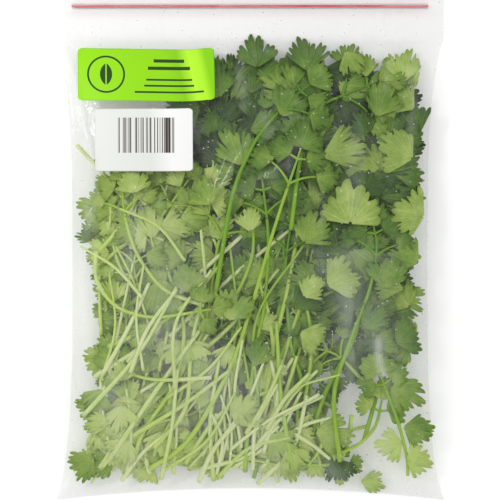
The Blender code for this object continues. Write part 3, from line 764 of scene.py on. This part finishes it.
def plastic_material(name, colour, roughness):
    """Extruded polythene with a soft gloss and slight streaks along the strip."""
    made, tree = new_material(name)
    place = add_node(tree, "TexCoord").outputs["Object"]
    streaks = add_node(tree, "Mapping", {"Vector": place, "Scale": (60.0, 900.0, 900.0)})
    noise = add_node(tree, "TexNoise", {"Vector": streaks.outputs[0], "Scale": 1.0, "Detail": 2.0})
    dark, light = colour
    tint = ramp(tree, noise.outputs["Fac"], ((0.35, dark), (0.65, light)))
    face = add_node(tree, "BsdfPrincipled", {"Base Color": tint, "Roughness": roughness, "IOR": 1.5})
    finish_material(tree, face.outputs[0])
    return made


def floor_material():
    made, tree = new_material("white_backdrop")
    noise = add_node(tree, "TexNoise", {"Scale": 3.0})
    tint = ramp(tree, noise.outputs["Fac"], ((0.0, "#fafafa"), (1.0, "#ffffff")))
    face = add_node(tree, "BsdfPrincipled",
                    {"Base Color": tint, "Roughness": 0.9, "Emission Color": (1, 1, 1, 1),
                     "Emission Strength": 0.1})
    finish_material(tree, face.outputs[0])
    return made


# ---------------------------------------------------------------- building

LEAF = leaf_material()
STEM = stem_material()
CLEAR = film_material()


def build_main_sprigs(heap):
    """The construction's own sprigs, at its own heights, with toothed and veined leaflets."""
    plans = [plan_of(each) for each in SPRIGS]
    order = sorted(range(len(plans)), key=lambda k: plans[k]["depth"])
    fields = [heap.lay(plans[number]) for number in order]
    heap.lid = film_over(heap)
    for number, field in zip(order, fields):
        plan = plans[number]
        leaf_tone, stem_tone = SPRIG_TONES[number]
        name = f"sprig_{number + 1:02d}"
        line = raised(plan["stem"], field)
        steps = np.linspace(0, 1, len(line))
        radius = plan["radius"] + (0.8 - plan["radius"]) * steps
        tone = np.clip(stem_tone + 0.25 * (0.3 - steps), 0, 1)
        stem = stem_piece(f"{name}_stem_surface", [line], [radius], [tone], STEM)
        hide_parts(f"{name}_stem")
        leaflets = plan["leaflets"]
        spreads = np.full(len(leaflets), plan["spread"], float)
        tones = leaf_tone + 0.16 * (RANDOM.random(len(leaflets)) - 0.5)
        leaves = leaf_piece(f"{name}_leaves_surface", leaflets, spreads, tones, partial(sample, field), LEAF)
        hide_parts(f"{name}_leaves")
        stalks = [raised(resampled(one, 10), field) for one in plan["stalks"]]
        stalk = stem_piece(f"{name}_stalks", stalks, np.tile(np.linspace(0.75, 0.45, 10), (len(stalks), 1)),
                           np.full((len(stalks), 10), max(stem_tone - 0.25, 0.1)), STEM)


def inside(points, margin=2.5):
    """Whether all points lie within the bag, a margin in millimetres from its seams."""
    u, v = across_and_along(points[:, 0], points[:, 1])
    side = np.abs(points[:, 0]) < half_width(v) - margin
    return bool(np.all(side & (v > margin) & (v < 236)))


def leaf_tips(plan):
    return np.array([base + turned(way, turn) * size for base, way, size, _ in plan["leaflets"]
                     for turn in (-50, 0, 50)])


def drawn_sprig(patch):
    """A sprig drawn at random in a patch, the first that keeps within the bag."""
    _, x, y, half_x, half_y, heading, turn, length, leaf, low, high, _, _ = patch
    for _ in range(60):
        tip = np.array([x, y]) + np.array([half_x, half_y]) * RANDOM.uniform(-1, 1, 2)
        way = turned((1, 0), heading + turn * RANDOM.uniform(-1, 1))
        depth = RANDOM.uniform(low, high)
        size = leaf * RANDOM.uniform(0.8, 1.15)
        pairs = int(RANDOM.integers(1, 3))
        long = max(length, 20 + 0.9 * size * pairs)
        bend = turned(way, 90) * long * RANDOM.uniform(-0.18, 0.18)
        start = tip - way * long
        route = [start, (start + tip) / 2 + bend, tip]
        plan = plan_of((depth, 1.0, size, RANDOM.uniform(52, 80), pairs, *route))
        if inside(np.vstack([plan["stem"], *plan["stalks"], leaf_tips(plan)])):
            return plan
    return None


def more_sprigs(heap):
    """Further sprigs in patches of the bag, each patch as one piece of leaves and one of stems."""
    for index, patch in enumerate(PATCHES):
        count, dark, pale = patch[0], patch[-2], patch[-1]
        leaflets, spreads, tones, depths = [], [], [], []
        lines, radii, stem_tones = [], [], []
        for _ in range(count):
            plan = drawn_sprig(patch)
            if plan is None:
                continue
            depth = plan["depth"]
            field = heap.field(depth)
            heap.add_top(plan, field)
            tone = RANDOM.uniform(dark, pale)
            for each in plan["leaflets"]:
                leaflets.append(each)
                spreads.append(plan["spread"])
                tones.append(tone + RANDOM.uniform(-0.08, 0.08))
                depths.append(depth)
            for one in (plan["stem"], *plan["stalks"]):
                flat = resampled(one, 12)
                thick = (1.1, 0.8) if one is plan["stem"] else (0.7, 0.45)
                lines.append(raised(flat, field))
                radii.append(np.linspace(*thick, 12))
                stem_tones.append(np.full(12, np.clip(tone + 0.15, 0, 1)))
        leaves = leaf_piece(f"patch_{index + 1}_leaves", leaflets, np.array(spreads), np.array(tones),
                            partial(heap.heights, depths), LEAF, 4, 2)
        stems = stem_piece(f"patch_{index + 1}_stems", lines, radii, stem_tones, STEM)


def lone_leaves(heap):
    """Leaflets that hide their own stalks, in patches, each as one piece."""
    for index, patch in enumerate(LEAF_PATCHES):
        count, x, y, half_x, half_y, heading, turn, leaf, low, high, dark, pale = patch
        leaflets, tones, depths = [], [], []
        while len(leaflets) < count:
            base = np.array([x, y]) + np.array([half_x, half_y]) * RANDOM.uniform(-1, 1, 2)
            way = turned((1, 0), heading + turn * RANDOM.uniform(-1, 1))
            size = leaf * RANDOM.uniform(0.7, 1.15)
            tips = np.array([base, *(base + turned(way, k) * size for k in (-50, 0, 50))])
            if inside(tips, 2.0):
                leaflets.append((base, way, size, RANDOM.uniform(-0.5, 0.5)))
                tones.append(RANDOM.uniform(dark, pale))
                depths.append(RANDOM.uniform(low, high))
        piece = leaf_piece(f"upper_leaves_{index + 1}", leaflets, RANDOM.uniform(42, 78, count),
                           np.array(tones), partial(heap.heights, depths), LEAF, 4, 2)


def broad_leaves(heap):
    """The broad leaflets that lie against the film."""
    table = np.array(BROAD_LEAVES, float)
    leaflets = [(row[:2], turned((1, 0), row[2]), row[3], 0.0) for row in table]

    def height(x, y):
        return heap.heights(table[:, 5], x, y) + 1.5

    piece = leaf_piece("broad_leaves", leaflets, table[:, 4], table[:, 6], height, LEAF, 5, 4)


def loose_stems(heap):
    """Lengths of stem that cross each other in the lower and left parts of the bag."""
    for index, patch in enumerate(STEM_PATCHES):
        count, x, y, half_x, half_y, heading, turn, length, low, high, dark, pale = patch
        lines, radii, tones = [], [], []
        for _ in range(count):
            middle = np.array([x, y]) + np.array([half_x, half_y]) * RANDOM.uniform(-1, 1, 2)
            way = turned((1, 0), heading + turn * RANDOM.uniform(-1, 1))
            half = length * RANDOM.uniform(0.35, 0.6)
            bend = turned(way, 90) * half * RANDOM.uniform(-0.32, 0.32)
            line, _ = smooth_route([middle - way * half, middle + bend, middle + way * half], 24)
            depth = RANDOM.uniform(low, high)
            if not inside(line):
                continue
            lines.append(raised(line, heap.field(depth)))
            start = RANDOM.uniform(0.75, 1.5)
            radii.append(np.linspace(start, start * 0.7, 24))
            tones.append(np.full(24, RANDOM.uniform(dark, pale)))
        stem_piece(f"loose_stems_{index + 1}", lines, radii, tones, STEM)


def creases(x, y):
    """Height and milkiness of the film's creases at (x, y), each a soft ridge along its own line."""
    ridge, cloud = np.zeros(x.shape), np.zeros(x.shape)
    for rise, width, milk, *route in CREASES:
        line, _ = smooth_route(route, 24)
        near = np.full(x.shape, 1e9)
        for px, py in line:
            near = np.minimum(near, (x - px) ** 2 + (y - py) ** 2)
        ridge += rise * np.exp(-near / width**2)
        cloud += milk * np.exp(-near / (1.4 * width) ** 2)
    return ridge, cloud


def film_front(heap):
    """The front panel: drawn over the heap, pinned at the seams, and never above the crown."""
    columns, rows = 161, 223
    u = np.sin(np.linspace(-1, 1, columns) * math.pi / 2)[None, :]
    v = np.linspace(0, BAG_LENGTH, rows)[:, None]
    x = u * half_width(v)
    y = v - BAG_LENGTH / 2 + bow(u, v)
    # near the seams the exact form is used, since the grid of the heap is too coarse there
    edge = seam_height(v) + zip_bulge(u, v)
    pinned = np.clip((1 - np.abs(u)) / 0.08, 0, 1)
    z = np.where(np.abs(u) > 0.985, edge, np.maximum(sample(heap.lid, x, y), edge))
    ridge, cloud = creases(x, y)
    z = z + ridge * pinned
    gap = z - sample(heap.top, x, y)
    haze = 0.005 + 0.05 * np.clip((gap - 5) / 16, 0, 1) + 0.8 * cloud
    points = np.stack(np.broadcast_arrays(x, y, z), axis=-1).reshape(-1, 3)
    uv = np.stack(np.broadcast_arrays(u, v), axis=-1).reshape(-1, 2)
    piece = make_piece("front_film", points, grid_faces(rows, columns), CLEAR, uv,
                       {"haze": np.broadcast_to(haze, x.shape).ravel()})
    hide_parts("bag_front_panel")
    return piece


def film_back():
    columns, rows = 81, 121
    u = np.linspace(-1, 1, columns)[None, :]
    v = np.linspace(0, BAG_LENGTH, rows)[:, None]
    x = u * half_width(v)
    y = v - BAG_LENGTH / 2 + bow(u, v)
    points = np.stack(np.broadcast_arrays(x, y, back_height(u, v)), axis=-1).reshape(-1, 3)
    uv = np.stack(np.broadcast_arrays(u, v), axis=-1).reshape(-1, 2)
    piece = make_piece("back_film", points, grid_faces(rows, columns)[:, ::-1], CLEAR, uv,
                       {"haze": np.full(len(points), 0.02)})
    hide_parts("bag_back_panel")
    return piece


def label_sheet(name, place, material, corner, sag, node):
    """A label with rounded corners that follows the front film.

    Its grid is squeezed near the four corners so that its rim runs along quarter circles.
    """
    middle_x, middle_y, width, height, turn = place
    columns, rows = 73, 41
    s = np.linspace(0, width, columns)[None, :]
    t = np.linspace(0, height, rows)[:, None]
    inset = np.clip(corner - np.minimum(t, height - t), 0, corner)
    trim = corner - np.sqrt(np.clip(corner**2 - inset**2, 0, None))
    across = trim + s / width * (width - 2 * trim)
    up = np.broadcast_to(t, across.shape)
    angle = math.radians(turn)
    dx, dy = across - width / 2, up - height / 2
    x = middle_x + dx * math.cos(angle) - dy * math.sin(angle)
    y = middle_y + dx * math.sin(angle) + dy * math.cos(angle)
    # the label droops to the right and its right end bends up again
    share = across / width
    y = y - sag * share + 0.4 * sag * np.exp(-(((share - 1) / 0.14) ** 2))
    z = sample(heap.lid, x, y) + creases(x, y)[0] + 0.35
    points = np.stack([x, y, z], axis=-1).reshape(-1, 3)
    uv = np.stack([across, up], axis=-1).reshape(-1, 2)
    piece = make_piece(name, points, grid_faces(rows, columns), material, uv)
    thicken(piece, 0.12)
    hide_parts(node)
    return piece


def stage():
    """The white surface, the camera above it and soft light."""
    size = 3.0
    corners = np.array([[-size, -size, 0], [size, -size, 0], [size, size, 0], [-size, size, 0]])
    mesh = bpy.data.meshes.new("backdrop")
    mesh.from_pydata(corners.tolist(), [], [(0, 1, 2, 3)])
    mesh.materials.append(floor_material())
    floor = bpy.data.objects.new("backdrop", mesh)
    bpy.context.scene.collection.objects.link(floor)

    camera = bpy.data.objects.new("camera", bpy.data.cameras.new("camera"))
    bpy.context.scene.collection.objects.link(camera)
    camera.data.lens = LENS
    camera.data.sensor_width = SENSOR
    camera.location = (0, VIEW_MIDDLE * MM, VIEW_WIDTH * MM * LENS / SENSOR)
    bpy.context.scene.camera = camera

    for name, place, power, width in (
        ("left_box", (-0.75, 0.45, 1.0), 22, 0.25), ("right_box", (1.0, 0.3, 1.1), 5, 0.5),
    ):
        light = bpy.data.objects.new(name, bpy.data.lights.new(name, "AREA"))
        light.data.energy = power
        light.data.size = width
        light.location = place
        direction = -np.array(place)
        light.rotation_euler = (math.atan2(math.hypot(direction[0], direction[1]), -direction[2]), 0,
                                math.atan2(direction[0], -direction[1]))
        bpy.context.scene.collection.objects.link(light)
    world = bpy.data.worlds.new("studio")
    world.use_nodes = True
    world.node_tree.nodes["Background"].inputs[0].default_value = (1, 1, 1, 1)
    world.node_tree.nodes["Background"].inputs[1].default_value = 0.95
    bpy.context.scene.world = world
    bpy.context.scene.view_settings.view_transform = "Standard"


heap = Heap()
build_main_sprigs(heap)
more_sprigs(heap)
lone_leaves(heap)
broad_leaves(heap)
loose_stems(heap)
front_film = film_front(heap)
back_film = film_back()
lime_paper = label_material("lime_label_paper", leaf_mark_ink, FRONT_LABEL[2], 0.2, LIME_PAPER_AND_PAINTED_SHEEN)
white_paper = label_material("white_label_paper", bar_ink, BARCODE_LABEL[2], 0.1, WHITE_PAPER_AND_PAINTED_SHADE)
lime_label = label_sheet("lime_label", FRONT_LABEL, lime_paper, 2.0, 3.2, "front_label")
white_label = label_sheet("white_label", BARCODE_LABEL, white_paper, 1.6, 0.6, "barcode_label")
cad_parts["zip_rib"].data.materials.clear()
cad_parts["zip_rib"].data.materials.append(plastic_material("red_polythene", ("#d93a44", "#f08a8c"),
                                                                 0.4))
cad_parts["zip_groove"].data.materials.clear()
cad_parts["zip_groove"].data.materials.append(CLEAR)
stage()
